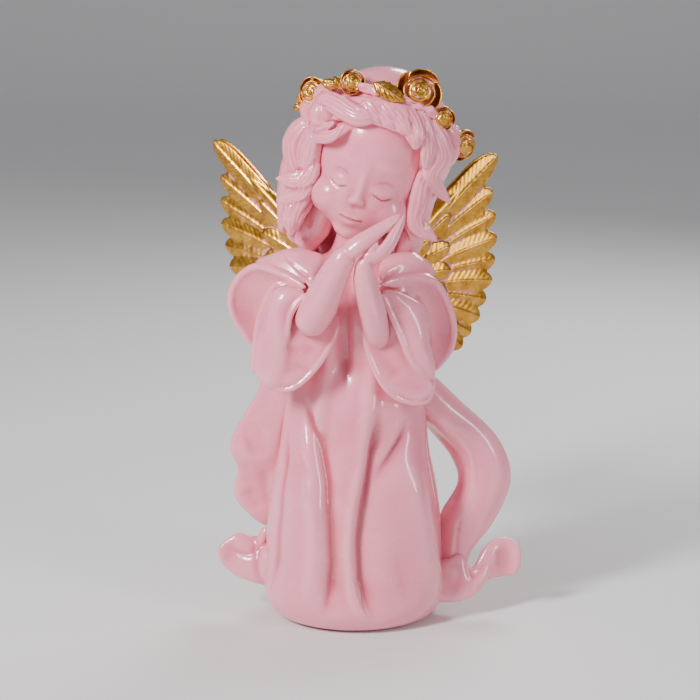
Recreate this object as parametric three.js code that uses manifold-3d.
// Resin angel figurine: a sleeping girl angel with folded hands, gold wings and a rose wreath.
// Millimetres, +Z up. The angel faces -Y. The origin is the middle of the felt pad's resting face.
// "right" and "left" are the angel's own, so her right side is at -X.
//
// The figurine is a set of castings, glued and pinned on a bench: the gown with the neck, the cape, two bell
// sleeves, two arms, the head, the hair, the wreath with its roses and leaves, the shawl and two wings.

import * as THREE from "three";
import { ParametricGeometry } from "three/addons/geometries/ParametricGeometry.js";
import { mergeVertices } from "three/addons/utils/BufferGeometryUtils.js";
import Module from "manifold-3d";

const wasm = await Module();
wasm.setup();

// ---------------------------------------------------------------- driving dimensions

const HEIGHT = 158; // pad to the crown of the hair
const GLUE_GAP = 0.4; // left between two castings that meet
const PAD = { halfWidth: 17, halfDepth: 13.5, thickness: 0.8 };
const PIN = { radius: 1.5, length: 14 }; // steel dowels in the neck and the wing roots
// A small child stands about three and a half heads tall.
const HEAD = { height: HEIGHT / 3.5, centre: [5.6, -3, HEIGHT - 24.5], roll: 18, pitch: 6, yaw: 8 };
const WREATH = { x: 20, front: 13.6, back: 21.6, z: 8.4, centre: [0, 1, 12], vine: 1.3 }; // higher at the brow
const WING = { root: [7, 17.5, 92], thickness: 2.6, leftSweep: 28, rightSweep: 38, rightLift: 3.2, rightSplay: 0.13 };

const rad = THREE.MathUtils.degToRad;
const clamp = THREE.MathUtils.clamp;
const vector = (p) => new THREE.Vector3(...p);
const mirrorX = ([x, y, z]) => [-x, y, z];

// ---------------------------------------------------------------- finishes

const resin = new THREE.MeshStandardMaterial({ color: 0xdba9b4, roughness: 0.22, metalness: 0 });
const gold = new THREE.MeshStandardMaterial({ color: 0xc8953c, roughness: 0.32, metalness: 1 });
const steel = new THREE.MeshStandardMaterial({ color: 0x9a9ca0, roughness: 0.35, metalness: 1 });
const felt = new THREE.MeshStandardMaterial({ color: 0xe8e2da, roughness: 0.95, metalness: 0 });

// ---------------------------------------------------------------- joining and cutting

// A geometry with its shared points merged and its empty triangles dropped, faces pointing out.
function closed(geometry) {
  const flat = geometry.index ? geometry.toNonIndexed() : geometry;
  const bare = new THREE.BufferGeometry().setAttribute("position", flat.getAttribute("position"));
  const merged = mergeVertices(bare, 1e-3);
  const from = merged.index.array;
  const kept = [];
  for (let i = 0; i < from.length; i += 3) {
    const [a, b, c] = [from[i], from[i + 1], from[i + 2]];
    if (a !== b && b !== c && c !== a) kept.push(a, b, c);
  }
  merged.setIndex(kept);
  return merged;
}

function toSolid(geometry) {
  const merged = closed(geometry);
  const vertProperties = merged.attributes.position.array;
  const build = (triVerts) => new wasm.Manifold(new wasm.Mesh({ numProp: 3, vertProperties, triVerts }));
  const triangles = new Uint32Array(merged.index.array);
  const made = build(triangles);
  return made.volume() > 0 ? made : build(triangles.reverse());
}

// The largest closed piece of a solid, as a geometry.
function toGeometry(solid) {
  const pieces = solid.decompose().sort((a, b) => b.volume() - a.volume());
  const mesh = pieces[0].getMesh();
  const points = new Float32Array(mesh.numVert * 3);
  for (let i = 0; i < mesh.numVert; i++) {
    points.set(mesh.vertProperties.subarray(i * mesh.numProp, i * mesh.numProp + 3), i * 3);
  }
  return new THREE.BufferGeometry()
    .setAttribute("position", new THREE.BufferAttribute(points, 3))
    .setIndex(new THREE.BufferAttribute(mesh.triVerts, 1));
}

// A geometry made fatter by a gap, used as the cutter that leaves the gap. A vertex moves along its normal,
// and further at a sharp edge, so that each face there still moves out by the whole gap.
function swollen(geometry, gap = GLUE_GAP) {
  const fat = toGeometry(toSolid(geometry));
  fat.computeVertexNormals();
  const { position, normal } = fat.attributes;
  const corners = fat.index.array;
  const point = (i) => new THREE.Vector3().fromBufferAttribute(position, i);
  const normals = [...Array(position.count).keys()].map((i) => new THREE.Vector3().fromBufferAttribute(normal, i));
  const facing = new Array(position.count).fill(1);
  for (let i = 0; i < corners.length; i += 3) {
    const trio = [corners[i], corners[i + 1], corners[i + 2]];
    const face = new THREE.Triangle(...trio.map(point)).getNormal(new THREE.Vector3());
    for (const corner of trio) facing[corner] = Math.min(facing[corner], face.dot(normals[corner]));
  }
  const moved = normals.map((way, i) => point(i).addScaledVector(way, gap / Math.max(facing[i], 0.35)));
  moved.forEach((p, i) => position.setXYZ(i, p.x, p.y, p.z));
  return fat;
}

const join = (first, ...rest) =>
  toGeometry(rest.reduce((sum, piece) => sum.add(toSolid(piece)), toSolid(first)));

const cut = (first, ...neighbours) =>
  toGeometry(neighbours.reduce((sum, piece) => sum.subtract(toSolid(swollen(piece))), toSolid(first)));

// ---------------------------------------------------------------- swept and lofted skins

// A closed skin round a path. Each station is [centre, [half width, half thickness], thin axis].
// bow bends the section like a roof tile, fold(t, angle) adds to its radius, and hollow gives the wall
// thickness and how far along the path the open cavity starts. ring joins the last station to the first.
function sweep(stations, { around = 12, along = 14, bow = 0, fold, hollow, ring = false } = {}) {
  const through = (pick) =>
    new THREE.CatmullRomCurve3(stations.map((s) => vector(pick(s))), ring, "catmullrom", 0.5);
  const line = through((s) => s[0]);
  const halves = through((s) => [...s[1], 0]);
  const thinAxes = through((s) => s[2]);
  const steps = [...Array(along + 1).keys()].map((i) => i / along);
  const rows = steps.map((t) => ({ t, inset: 0, size: 1 }));
  if (hollow) {
    const back = steps.filter((t) => t >= hollow.from).reverse();
    rows.push(...back.map((t) => ({ t, inset: hollow.wall, size: 1 })));
  }
  if (!ring) {
    rows.unshift({ ...rows[0], size: 0 });
    rows.push({ ...rows.at(-1), size: 0 });
  }
  const place = (u, v, target) => {
    const { t, inset, size } = rows[Math.round(v * (rows.length - 1))];
    const along = line.getTangent(t);
    const thin = thinAxes.getPoint(t);
    thin.addScaledVector(along, -thin.dot(along)).normalize();
    const wide = along.cross(thin);
    const half = halves.getPoint(t);
    const angle = (u % 1) * 2 * Math.PI;
    const extra = (fold ? fold(t, angle) : 0) - inset;
    const across = Math.cos(angle) * Math.max(half.x + extra, 0.05) * size;
    const deep = Math.sin(angle) * Math.max(half.y + extra, 0.05) * size;
    const bent = size * bow * (1 - 2 * Math.cos(angle) ** 2);
    target.copy(line.getPoint(t)).addScaledVector(wide, across).addScaledVector(thin, deep + bent);
  };
  return closed(new ParametricGeometry(place, around, rows.length - 1));
}

// A closed skin of level rings. Each level is [z, half width, front depth, back depth, middle x, middle y].
// crease(azimuth, z) adds to the radius; azimuth 0 is the front and 90 degrees the angel's left.
function loft(levels, { around = 32, along = 30, crease = () => 0 } = {}) {
  const ends = new THREE.CatmullRomCurve3(levels.map((l) => new THREE.Vector3(l[0], l[4] ?? 0, l[5] ?? 0)));
  const sizes = new THREE.CatmullRomCurve3(levels.map((l) => new THREE.Vector3(l[1], l[2], l[3])));
  const place = (u, v, target) => {
    const row = Math.round(v * (along + 2));
    const t = clamp((row - 1) / along, 0, 1);
    const middle = ends.getPoint(t);
    const size = sizes.getPoint(t);
    const azimuth = ((u % 1) - 0.5) * 2 * Math.PI;
    const depth = Math.cos(azimuth) > 0 ? size.y : size.z;
    const grow = row === 0 || row === along + 2 ? 0 : 1;
    const extra = crease(azimuth, middle.x);
    target.set(
      middle.y + grow * Math.sin(azimuth) * (size.x + extra),
      middle.z - grow * Math.cos(azimuth) * (depth + extra),
      middle.x,
    );
  };
  return closed(new ParametricGeometry(place, around, along + 2));
}

const ball = ([x, y, z], [rx, ry, rz], around = 16, along = 12) =>
  closed(new THREE.SphereGeometry(1, around, along).rotateX(Math.PI / 2).scale(rx, ry, rz).translate(x, y, z));

// A round pin from one point towards another.
function dowel(from, towards, radius, length) {
  const way = vector(towards).sub(vector(from)).normalize();
  const turn = new THREE.Quaternion().setFromUnitVectors(new THREE.Vector3(0, 1, 0), way);
  const middle = vector(from).addScaledVector(way, length / 2);
  return closed(
    new THREE.CylinderGeometry(radius, radius, length, 16)
      .applyQuaternion(turn)
      .translate(middle.x, middle.y, middle.z),
  );
}

// ---------------------------------------------------------------- gown and neck, one casting

const GOWN_FOOT = PAD.thickness + 0.3;
const GOWN_LEVELS = [
  [GOWN_FOOT, 19.5, 17, 14],
  [3, 23.2, 20, 17],
  [7, 25.8, 21.8, 18.5],
  [12, 26.3, 22, 19],
  [20, 25.8, 21.5, 18],
  [30, 25.2, 20.5, 17],
  [40, 23.9, 19.5, 15.5],
  [50, 21.8, 17.5, 14],
  [60, 20.3, 15, 12.5],
  [70, 19, 13, 12],
  [78, 18, 12, 12],
  [88, 18.5, 12.5, 12],
  [96, 19.5, 11.5, 11.5],
  [101, 17, 9.5, 10],
  [104.5, 11.5, 7.5, 8, 0.3, 0.3],
  [107, 7.6, 6.4, 6.8, 0.6, 0.2],
  [112, 6.2, 6, 6, 1.2, -0.2],
  [117, 6, 6, 6, 2, -0.8],
];

// Each fold runs up the cloth through [z, azimuth in degrees] points; a negative depth is a valley.
const GOWN_FOLDS = [
  { run: [[8, -18], [30, -18], [45, -22], [55, -31], [64, -48]], wide: 9, depth: -2.4 },
  { run: [[5, 7], [17, 2], [29, 2], [39, 5], [50, 12], [63, 18]], wide: 9, depth: -2.2 },
  { run: [[46, 24], [58, 44]], wide: 8, depth: -1.2 },
  { run: [[14, -62], [40, -58], [58, -66]], wide: 9, depth: -1.3 },
  { run: [[10, 70], [34, 66], [56, 72]], wide: 10, depth: -1.3 },
  { run: [[66, -28], [78, -24], [86, -20]], wide: 8, depth: 0.9 },
  { run: [[62, 10], [76, 14], [86, 16]], wide: 8, depth: 0.9 },
  { run: [[6, 118], [40, 122], [66, 128]], wide: 12, depth: -1.6 },
  { run: [[6, 160], [40, 164], [66, 160]], wide: 12, depth: -1.6 },
  { run: [[6, -158], [40, -152], [66, -156]], wide: 12, depth: -1.6 },
  { run: [[6, -116], [40, -112], [66, -122]], wide: 12, depth: -1.6 },
];

function foldDepth({ run, wide, depth }, azimuth, z) {
  const [low, high] = [run[0][0], run.at(-1)[0]];
  if (z <= low || z >= high) return 0;
  const i = run.findIndex(([level]) => level > z);
  const share = (z - run[i - 1][0]) / (run[i][0] - run[i - 1][0]);
  const centre = THREE.MathUtils.lerp(run[i - 1][1], run[i][1], share);
  const off = THREE.MathUtils.radToDeg(azimuth) - centre;
  const fade = Math.min(1, (z - low) / 8, (high - z) / 8);
  return depth * fade * Math.exp(-((off / wide) ** 2));
}

const gownCrease = (azimuth, z) => GOWN_FOLDS.reduce((sum, fold) => sum + foldDepth(fold, azimuth, z), 0);

const neckPin = dowel([1.2, -0.2, 108], [2.6, -1, 120], PIN.radius, PIN.length);
const wingPin = (side) =>
  dowel([side * (WING.root[0] - 2.5), WING.root[1] - 10, WING.root[2]], [side * 9, WING.root[1], WING.root[2]],
    PIN.radius, PIN.length);
const wingPins = [wingPin(-1), wingPin(1)];

const gownShape = loft(GOWN_LEVELS, { around: 28, along: 18, crease: gownCrease });
const gown = cut(gownShape, neckPin, ...wingPins);

const felted = closed(
  new THREE.CylinderGeometry(1, 1, PAD.thickness, 28)
    .rotateX(Math.PI / 2)
    .scale(PAD.halfWidth, PAD.halfDepth, 1)
    .translate(0, 0, PAD.thickness / 2),
);

// ---------------------------------------------------------------- bell sleeves, hollow at the mouth

const SLEEVE_RIGHT = [
  [[-12.5, 2, 102], [5, 4.5], [-0.4, -0.2, 0.9]],
  [[-19.5, 0, 98.5], [8, 6.5], [-0.8, -0.2, 0.5]],
  [[-23, -5, 90], [11.5, 8], [-1, -0.2, 0.25]],
  [[-19.5, -11, 83], [13.5, 7.8], [-0.9, -0.5, 0.25]],
  [[-13.5, -16, 82], [13.5, 6.5], [-0.7, -0.64, 0.24]],
];
const SLEEVE_LEFT = [
  [[11, 2, 102], [5, 4.5], [0.4, -0.2, 0.9]],
  [[17.5, 0, 98], [8, 6.5], [0.8, -0.2, 0.5]],
  [[20.5, -5, 88], [12.5, 8], [1, -0.2, 0.25]],
  [[16.5, -11, 80.5], [14.5, 7.8], [0.9, -0.5, 0.3]],
  [[11, -16, 80], [14.5, 6.5], [0.66, -0.66, 0.36]],
];
const SLEEVE_HOLLOW = { wall: 1.7, from: 0.55 };
const sleevePleat = (t, angle) => 0.55 * t * Math.sin(5 * angle + 1.2);
const sleeveOf = (stations) =>
  sweep(stations, { around: 14, along: 8, hollow: SLEEVE_HOLLOW, fold: sleevePleat });
const sleeveRightShape = sleeveOf(SLEEVE_RIGHT);
const sleeveLeftShape = sleeveOf(SLEEVE_LEFT);
const sleeveRight = cut(sleeveRightShape, gownShape);
const sleeveLeft = cut(sleeveLeftShape, gownShape);

// ---------------------------------------------------------------- cape round the back, lobes at both arms

const capeSide = [
  [[-30.5, -3.5, 90.5], [6, 1], [-0.75, -0.6, 0.2]],
  [[-32.5, 0, 90.5], [11.5, 1.7], [-1, -0.2, 0.25]],
  [[-31.5, 6, 90], [13, 1.8], [-0.95, 0.3, 0.3]],
  [[-24, 13, 89.5], [13, 1.8], [-0.6, 0.75, 0.35]],
  [[-12, 15.5, 89], [13, 1.8], [-0.2, 0.95, 0.3]],
];
const capeMiddle = [[[0, 16, 89], [13, 1.8], [0, 1, 0.3]]];
const capeLeftSide = capeSide
  .map(([[x, y, z], [wide, thin], axis]) => [[-x - 3, y, z - 2.5], [wide + 1.5, thin], mirrorX(axis)])
  .reverse();
const capeWave = (t, angle) => Math.abs(Math.cos(angle)) ** 6 * 0.9 * Math.sin(t * 9 * Math.PI);
const capeShape = sweep([...capeSide, ...capeMiddle, ...capeLeftSide], {
  around: 8,
  along: 24,
  bow: 1.6,
  fold: capeWave,
});
const cape = cut(capeShape, gownShape, sleeveRightShape, sleeveLeftShape, ...wingPins);

// ---------------------------------------------------------------- head group: tilted, its own frame

const headGroup = new THREE.Group();
headGroup.position.set(...HEAD.centre);
headGroup.rotation.set(rad(HEAD.pitch), rad(HEAD.roll), -rad(HEAD.yaw), "ZYX");
headGroup.updateMatrix();
const toHead = (geometry) => geometry.clone().applyMatrix4(headGroup.matrix.clone().invert());
const fromHead = (geometry) => geometry.clone().applyMatrix4(headGroup.matrix);

// Head levels as shares of the head's height, from its middle: [z, half width, front depth, back depth, 0,
// middle y], chin to crown. The head is about seven tenths as wide as it is high, and rounder at the back.
const HEAD_LEVELS = [
  [-0.49, 0.07, 0.09, 0.07, 0, -0.2],
  [-0.45, 0.13, 0.14, 0.11, 0, -0.18],
  [-0.36, 0.22, 0.22, 0.18, 0, -0.12],
  [-0.25, 0.29, 0.29, 0.27, 0, -0.06],
  [-0.12, 0.33, 0.34, 0.34, 0, -0.02],
  [0, 0.35, 0.36, 0.37, 0, 0],
  [0.15, 0.35, 0.37, 0.38, 0, 0],
  [0.3, 0.32, 0.34, 0.36, 0, 0],
  [0.4, 0.27, 0.27, 0.31, 0, 0],
  [0.47, 0.16, 0.16, 0.2, 0, 0],
  [0.5, 0.06, 0.06, 0.08, 0, 0],
].map((level) => level.map((share) => share * HEAD.height));
const bump = (x, z, atX, atZ, wideX, wideZ) =>
  Math.exp(-(((x - atX) / wideX) ** 2) - ((z - atZ) / wideZ) ** 2);

// A child's features lie in the lower half of the head, on its quarter lines: the lids on the first below the
// brow, the foot of the nose on the second, the lower lip on the third and the chin on the last.
const QUARTER = HEAD.height / 8;
const EYE_SPREAD = HEAD.height * 0.14;

function faceRelief(azimuth, z) {
  if (Math.cos(azimuth) < 0) return 0;
  const x = HEAD.height * 0.35 * Math.sin(azimuth);
  return (
    2.4 * bump(x, z, 0, -1.7 * QUARTER, 2, 2.6) +
    0.9 * bump(Math.abs(x), z, EYE_SPREAD, -0.9 * QUARTER, 2.8, 2) +
    0.9 * bump(Math.abs(x), z, EYE_SPREAD * 1.2, -2.1 * QUARTER, 4, 3.6) +
    0.9 * bump(x, z, 0, -2.8 * QUARTER, 3, 1.6) +
    0.7 * bump(x, z, 0, -3.6 * QUARTER, 3, 2)
  );
}
const headShape = loft(HEAD_LEVELS, { around: 20, along: 14, crease: faceRelief });
const head = cut(headShape, toHead(gownShape), toHead(neckPin));
// The bald head in broad facets, a little larger all over: it hollows the hair out.
const scalp = loft(HEAD_LEVELS, { around: 14, along: 9, crease: () => 0.7 });

// ---------------------------------------------------------------- arms, the palms pressed together

const PALM_AXIS = [-0.55, -0.1, 0.83]; // across the two palms, from the left hand to the right one
const PALM_AXIS_BACK = [0.55, 0.1, -0.83];
const armRightShape = sweep(
    [
      [[-13.2, -14.6, 86], [3, 3], PALM_AXIS],
      [[-12.2, -17, 88.6], [4.8, 4.6], PALM_AXIS],
      [[-9, -19.5, 95], [4.7, 4.5], PALM_AXIS],
      [[-5.6, -21.7, 102.8], [3.9, 3.7], PALM_AXIS],
      [[-2.4, -23, 109.8], [3.2, 2.9], PALM_AXIS],
      [[0.9, -23, 113.1], [4.1, 2.3], PALM_AXIS],
      [[5, -22.2, 115.8], [4.5, 1.9], PALM_AXIS],
      [[9.3, -20.8, 118], [3.9, 1.5], PALM_AXIS],
      [[12.8, -19.6, 120.4], [2, 0.8], PALM_AXIS],
    ],
    { around: 10, along: 13 },
);
const armRight = cut(armRightShape, sleeveRightShape, gownShape, fromHead(headShape));

const armLeftShape = sweep(
    [
      [[7.6, -11.5, 80.5], [3, 3], PALM_AXIS_BACK],
      [[6.6, -14.6, 83.8], [4.3, 4.3], PALM_AXIS_BACK],
      [[4.9, -18.4, 92], [4.2, 4.2], PALM_AXIS_BACK],
      [[2.9, -21.6, 101], [3.5, 3.5], PALM_AXIS_BACK],
      [[2.4, -23.4, 107.4], [3, 2.8], PALM_AXIS_BACK],
      [[5.4, -23.4, 110.6], [4, 2.2], PALM_AXIS_BACK],
      [[9.3, -22, 113.6], [4.4, 1.8], PALM_AXIS_BACK],
      [[12.4, -20.6, 116.4], [3.7, 1.5], PALM_AXIS_BACK],
      [[14.8, -19.4, 119.2], [1.9, 0.8], PALM_AXIS_BACK],
    ],
    { around: 10, along: 13 },
);
const armLeft = cut(armLeftShape, sleeveLeftShape, gownShape, fromHead(headShape), armRightShape);


// ---------------------------------------------------------------- hair

const fringeShape = sweep(
    [
      [[-14.5, -9.5, 3], [1.8, 1.2], [-0.8, -0.6, 0.1]],
      [[-12.5, -13, 8.5], [3.4, 2.2], [-0.6, -0.8, 0.1]],
      [[-6.5, -17, 12.6], [3.8, 2.4], [-0.2, -1, 0.3]],
      [[0.5, -18, 13.6], [3.6, 2.3], [0, -1, 0.3]],
      [[7.5, -16.8, 12.2], [3.5, 2.2], [0.3, -1, 0.2]],
      [[12.4, -13.4, 8], [3.2, 2], [0.6, -0.8, 0.1]],
      [[15.2, -9.6, 1.5], [1.6, 1.1], [0.9, -0.4, 0]],
    ],
    { around: 8, along: 14 },
);
const body = [gownShape, capeShape, sleeveRightShape, sleeveLeftShape, armRightShape, armLeftShape];
const bodyInHead = body.map(toHead);

const lock = (stations) => sweep(stations, { around: 8, along: 9 });
const rightLocks = toHead(
    join(
      lock([
        [[-6, -10, 149], [3, 3], [-0.6, -0.8, 0]],
        [[-11.5, -10, 143.5], [5, 4], [-0.8, -0.6, 0]],
        [[-15.2, -8, 134], [5.4, 4.4], [-0.9, -0.4, 0]],
        [[-14.4, -7, 125], [5, 4.6], [-0.8, -0.6, 0]],
        [[-17.4, -6.5, 117.5], [5, 4.2], [-0.8, -0.6, 0]],
        [[-17, -5, 107.5], [1.6, 1.4], [-0.8, -0.6, 0]],
      ]),
      lock([
        [[-8, 2, 149], [4, 3.4], [-0.9, 0, 0]],
        [[-14, 2, 139], [7, 4.4], [-1, 0, 0]],
        [[-15, 2, 127], [7, 5.5], [-1, 0, 0]],
        [[-15.6, 3, 116], [6, 5], [-1, 0, 0]],
        [[-16, 4, 106], [2, 1.6], [-1, 0, 0]],
      ]),
    ),
);
const leftLocks = toHead(
    join(
      lock([
        [[17, -11, 146], [3, 2.6], [0.6, -0.8, 0]],
        [[22.4, -9.5, 139.5], [4.6, 3.8], [0.8, -0.6, 0]],
        [[23.4, -8, 131], [4.8, 3.8], [0.9, -0.4, 0]],
        [[20, -7, 123], [4.4, 3.6], [0.8, -0.6, 0]],
        [[19.4, -6, 115], [4, 3.4], [0.8, -0.6, 0]],
        [[21.6, -6, 107.5], [1.4, 1.4], [0.8, -0.6, 0]],
      ]),
      lock([
        [[19, 1, 147], [4, 3.4], [1, 0, 0]],
        [[23.4, 2, 138], [7, 4.4], [1, 0, 0]],
        [[21.8, 2, 126], [7, 5.5], [1, 0, 0]],
        [[18.4, 3, 115], [6, 5], [1, 0, 0]],
        [[18.4, 4, 106], [2, 1.6], [1, 0, 0]],
      ]),
    ),
);
const backLocks = toHead(
    sweep(
      [
        [[7, 9, 146], [12, 3], [0.1, 1, 0.4]],
        [[4.5, 12, 134], [19.5, 4.2], [0, 1, 0]],
        [[2.5, 13.5, 120], [19, 5], [0, 1, -0.1]],
        [[0.6, 16.5, 107], [14, 4.2], [0, 1, 0.1]],
        [[0, 20.5, 96], [8.5, 3], [0, 1, 0.2]],
        [[0, 22, 87], [2, 1.2], [0, 1, 0.1]],
      ],
      { around: 12, along: 10, bow: 2.6 },
    ),
);

// ---------------------------------------------------------------- wreath: vine, roses, buds and leaves

// The point of the wreath's oval at an azimuth in degrees, in the head's frame; 0 is over the brow.
function onWreath(azimuth) {
  const a = rad(azimuth);
  const [x, y, z] = WREATH.centre;
  return new THREE.Vector3(
    x + WREATH.x * Math.sin(a),
    y - (Math.cos(a) > 0 ? WREATH.front : WREATH.back) * Math.cos(a),
    z + WREATH.z * Math.cos(a),
  );
}
// Straight out of the head from there.
const outward = (azimuth) => onWreath(azimuth).sub(new THREE.Vector3(0, 1.5, 3.2)).normalize();

const VINE_STOPS = 16;
const vine = sweep(
    [...Array(VINE_STOPS).keys()].map((i) => {
      const azimuth = (i * 360) / VINE_STOPS;
      const lifted = onWreath(azimuth).addScaledVector(outward(azimuth), 0.4);
      return [lifted.toArray(), [WREATH.vine, WREATH.vine], outward(azimuth).toArray()];
    }),
    { around: 6, along: 26, ring: true },
);

const fringe = cut(fringeShape, scalp, vine);
const hairRight = cut(rightLocks, scalp, vine, fringeShape, ...bodyInHead);
const hairLeft = cut(leftLocks, scalp, vine, fringeShape, ...bodyInHead);
const hairBack = cut(backLocks, scalp, vine, rightLocks, leftLocks, ...bodyInHead);
const capShape = ball([0, 1.5, 3.2], [20, 19, 21.8], 18, 12);
const hairCap = cut(
  capShape,
  scalp,
  ball([0, -20, -9], [14.2, 22, 20.5], 16, 10),
  ball([0, 4, -26], [26, 26, 14], 14, 8),
  vine,
  fringeShape,
  rightLocks,
  leftLocks,
  backLocks,
);


// A geometry made along +Y from the origin, stood on the wreath and pointing out of the head.
function standOnWreath(geometry, { azimuth, lift = 1.2, up = 0, lean = 0 }) {
  const way = outward(azimuth).add(new THREE.Vector3(0, 0, lean)).normalize();
  const turn = new THREE.Quaternion().setFromUnitVectors(new THREE.Vector3(0, 1, 0), way);
  const at = onWreath(azimuth).addScaledVector(way, lift).add(new THREE.Vector3(0, 0, up));
  return geometry.applyQuaternion(turn).translate(at.x, at.y, at.z);
}

// A rose is a cup of petals turned on its axis: an outer whorl, a groove, an inner whorl and the heart.
const rose = (radius) =>
  closed(
    new THREE.LatheGeometry(
      [[0, -0.5], [0.5, -0.45], [0.9, -0.1], [1, 0.25], [0.9, 0.36], [0.72, 0.22], [0.62, 0.5], [0.45, 0.42],
        [0.3, 0.62], [0, 0.66]].map(([r, h]) => new THREE.Vector2(r * radius, h * radius)),
      8,
    ),
  );
// A leaf lies across the wreath: a pointed oval with a raised midrib.
function leaf(length, turn) {
  const outline = new THREE.Shape()
    .moveTo(-length / 2, 0)
    .quadraticCurveTo(0, length * 0.42, length / 2, 0)
    .quadraticCurveTo(0, -length * 0.42, -length / 2, 0);
  const plate = new THREE.ExtrudeGeometry(outline, { depth: 0.9, bevelEnabled: false, curveSegments: 8 });
  return closed(plate.rotateX(-Math.PI / 2).rotateY(rad(turn)));
}

const ROSES = [
  { name: "rose_brow_large", azimuth: 20, radius: 5.2, up: 2.2, lift: 2.4 },
  { name: "rose_left_small", azimuth: 50, radius: 3.5, up: -0.6, lift: 2 },
  { name: "rose_left_side", azimuth: 90, radius: 3.6, up: 0, lift: 1.8 },
  { name: "rose_right_bud", azimuth: -36, radius: 3.3, up: 0.4, lift: 1.8 },
  { name: "rose_right_side", azimuth: -84, radius: 3.8, up: 0.4, lift: 2 },
  { name: "rose_back_left", azimuth: 140, radius: 3.6, up: 0, lift: 1.8 },
  { name: "rose_back_right", azimuth: -142, radius: 3.6, up: 0, lift: 1.8 },
];
const LEAVES = [
  { name: "leaf_brow", azimuth: -8, length: 9.5, turn: -12 },
  { name: "leaf_right_temple", azimuth: -60, length: 6.5, turn: 20 },
  { name: "leaf_right_low", azimuth: -104, length: 6.5, turn: 30 },
  { name: "leaf_left_low", azimuth: 112, length: 6.5, turn: -30 },
  { name: "leaf_back_left", azimuth: 165, length: 7.5, turn: 10 },
  { name: "leaf_back_right", azimuth: -168, length: 7.5, turn: -10 },
];
const hairPieces = [capShape, fringeShape, rightLocks, leftLocks, backLocks];
const blossoms = [];
for (const { name, radius, ...place } of ROSES) {
  const shape = standOnWreath(rose(radius), place);
  blossoms.push({ name, shape: cut(shape, vine, ...hairPieces, ...blossoms.map((b) => b.shape)) });
}
for (const { name, length, turn, azimuth } of LEAVES) {
  const shape = standOnWreath(leaf(length, turn), { azimuth, lift: WREATH.vine + 0.9 });
  blossoms.push({ name, shape: cut(shape, vine, ...hairPieces, ...blossoms.map((b) => b.shape)) });
}

// ---------------------------------------------------------------- wings: feather fan, coverts and a root boss

// Outline in the wing's own plane: u runs out from the root, v up. Lobes at the lower edge are feather tips.
const WING_EDGE = [
  [1, -6], [1.5, 6], [7, 16], [14, 21], [22, 26], [28, 29.5], [33, 34.5], [37.5, 38.5], [40, 36.5], [39.4, 32],
  [36.5, 27.5], [36, 20], [36.2, 13], [35, 8], [38, 5.5], [39.4, 1], [35.5, -2.6], [34.2, -7.5], [31, -10],
  [30.5, -14.6], [26.6, -17], [21, -15.6], [13, -12], [6, -9],
];
const COVERT_EDGE = [
  [2, -4], [2.5, 6], [8, 14.5], [15, 19.5], [22, 24], [26.5, 26], [26, 20], [21, 12], [17, 4], [12, -4], [6, -7],
];

function plate(edge, thickness, offset) {
  const points = edge.map(([u, v]) => new THREE.Vector2(u, v));
  const outline = new THREE.Shape().moveTo(points[0].x, points[0].y).splineThru([...points.slice(1), points[0]]);
  const even = new THREE.Shape(outline.getSpacedPoints(Math.round(edge.length * 1.4)).slice(0, -1));
  const slab = new THREE.ExtrudeGeometry(even, { depth: thickness, bevelEnabled: false });
  return closed(slab.rotateX(Math.PI / 2).translate(0, offset + thickness / 2, 0));
}

// Built for the left side; the right wing is its mirror image, splayed, raised and swept further back.
function wingOf(side) {
  const built = join(
    plate(WING_EDGE, WING.thickness, 0),
    plate(COVERT_EDGE, WING.thickness, -1.2),
    ball([3.2, -0.6, 0], [5, 3, 7.5], 10, 7),
  );
  if (side < 0) built.applyMatrix4(new THREE.Matrix4().makeShear(0, 0, 0, 0, WING.rightSplay, 0));
  built.rotateZ(rad(side > 0 ? WING.leftSweep : WING.rightSweep));
  if (side < 0) {
    built.scale(-1, 1, 1);
    built.setIndex([...built.index.array].reverse());
  }
  const [x, y, z] = WING.root;
  built.translate(side * x, y, z + (side < 0 ? WING.rightLift : 0));
  return cut(built, ...body, ...[backLocks, rightLocks, leftLocks].map(fromHead), ...wingPins);
}
const wingRight = wingOf(-1);
const wingLeft = wingOf(1);

// ---------------------------------------------------------------- shawl: falls, loop and curled tails

const FRONT = [0, -1, 0];
const shawlFallShape = sweep(
    [
      [[-20, 3, 76], [4, 1.6], FRONT],
      [[-24, 4, 66], [5.5, 2], FRONT],
      [[-26.5, 5, 57], [7, 2.2], [0.1, -1, 0]],
      [[-28, 6, 49.5], [7.6, 2.2], [-0.2, -1, 0]],
      [[-27, 6, 42], [6.8, 2.2], [0.25, -1, 0]],
      [[-27, 7, 35], [7.4, 2.2], [-0.2, -1, 0]],
      [[-23.5, 8, 28], [5, 1.8], FRONT],
      [[-20, 9, 24], [2, 1.2], FRONT],
    ],
    { around: 8, along: 16 },
);
const shawlFall = cut(shawlFallShape, gownShape, sleeveRightShape, capeShape);
const shawlTailRightShape = sweep(
    [
      [[-19, 12, 17], [4.5, 1.8], [-0.2, -1, 0]],
      [[-26, 8, 15], [5.6, 1.9], [-0.6, -1, 0]],
      [[-30, 4.5, 15.5], [6.2, 1.9], [0, -1, 0]],
      [[-33.5, 5.5, 16], [6.8, 1.9], [0.5, -1, 0]],
      [[-36.5, 4.5, 16.8], [6.4, 1.8], [-0.2, -1, 0]],
      [[-39.4, 2.5, 17.4], [4.6, 1.3], [-0.5, -1, 0]],
    ],
    { around: 8, along: 12 },
);
const shawlTailRight = cut(shawlTailRightShape, gownShape, shawlFallShape);
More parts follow.
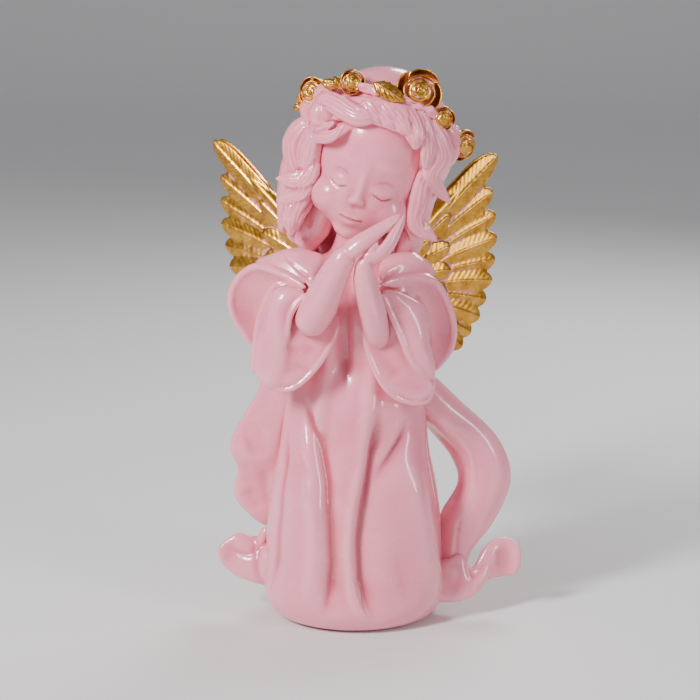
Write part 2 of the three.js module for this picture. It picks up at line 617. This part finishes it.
const shawlLoopShape = sweep(
    [
      [[15, 9, 72], [5, 1.8], [-0.2, -1, 0.1]],
      [[22, 6.5, 65.5], [6, 2], [-0.4, -1, 0.2]],
      [[29.5, 4, 57], [6.4, 2.2], [-0.5, -0.9, 0]],
      [[35.5, 2.6, 48.5], [7, 2.3], [-0.5, -0.9, 0]],
      [[37.4, 2.2, 39.5], [7.2, 2.3], [-0.4, -0.9, 0]],
      [[33.8, 2.6, 31.5], [6.6, 2.2], [-0.3, -0.95, 0]],
      [[29, 3.2, 25], [5.6, 2.2], [-0.1, -1, 0]],
      [[26, 3.6, 17.5], [5.2, 2.3], [0.2, -1, 0]],
      [[24.6, 3, 9], [5.4, 2.4], [0, -1, 0]],
    ],
    { around: 8, along: 20 },
);
const shawlLoop = cut(shawlLoopShape, gownShape, sleeveLeftShape, capeShape);
const shawlTailLeftShape = sweep(
    [
      [[26, -1.5, 8], [4, 1.8], [-0.5, -1, 0.3]],
      [[32, -2, 7.6], [4.2, 2], [-0.2, -0.8, 0.6]],
      [[36.2, 0, 11.4], [5, 2], [0.4, -0.9, 0.2]],
      [[39.4, 2.6, 15.2], [5.2, 1.8], [0.5, -0.9, 0.1]],
      [[43.6, 2.4, 15.8], [5.4, 1.7], [-0.2, -1, 0]],
      [[48, 0.6, 15.6], [4.4, 1.3], [-0.5, -0.9, 0]],
    ],
    { around: 8, along: 12 },
);
const shawlTailLeft = cut(shawlTailLeftShape, gownShape, shawlLoopShape);
const shawlBackShape = sweep(
    [
      [[-21, 6.5, 69], [4.4, 1.6], [-0.8, 0.6, 0.2]],
      [[-15, 13, 66.5], [5.6, 1.8], [-0.5, 0.85, 0.2]],
      [[0, 15.8, 64], [5.8, 1.8], [0, 1, 0.2]],
      [[13, 13, 66.5], [5.4, 1.8], [0.5, 0.85, 0.2]],
      [[20, 9.5, 69], [3, 1.4], [0.8, 0.6, 0.2]],
    ],
    { around: 8, along: 12 },
);
const shawlBack = cut(shawlBackShape, gownShape, shawlFallShape, shawlLoopShape, capeShape);

// ---------------------------------------------------------------- the assembled figurine

const figurine = new THREE.Group();
const add = (parent, name, geometry, material) => {
  const mesh = new THREE.Mesh(geometry, material);
  mesh.name = name;
  parent.add(mesh);
};

add(figurine, "felt_pad", felted, felt);
add(figurine, "gown_and_neck", gown, resin);
add(figurine, "cape", cape, resin);
add(figurine, "sleeve_right", sleeveRight, resin);
add(figurine, "sleeve_left", sleeveLeft, resin);
add(figurine, "arm_right", armRight, resin);
add(figurine, "arm_left", armLeft, resin);
add(figurine, "shawl_fall_right", shawlFall, resin);
add(figurine, "shawl_tail_right", shawlTailRight, resin);
add(figurine, "shawl_loop_left", shawlLoop, resin);
add(figurine, "shawl_tail_left", shawlTailLeft, resin);
add(figurine, "shawl_back", shawlBack, resin);
add(figurine, "wing_right", wingRight, gold);
add(figurine, "wing_left", wingLeft, gold);
add(figurine, "wing_pin_right", wingPins[0], steel);
add(figurine, "wing_pin_left", wingPins[1], steel);
add(figurine, "neck_pin", neckPin, steel);

figurine.add(headGroup);
add(headGroup, "head", head, resin);
add(headGroup, "hair_cap", hairCap, resin);
add(headGroup, "hair_fringe", fringe, resin);
add(headGroup, "hair_side_right", hairRight, resin);
add(headGroup, "hair_side_left", hairLeft, resin);
add(headGroup, "hair_back", hairBack, resin);
add(headGroup, "wreath_vine", join(vine), resin);
for (const { name, shape } of blossoms) add(headGroup, name, shape, gold);

export default figurine;
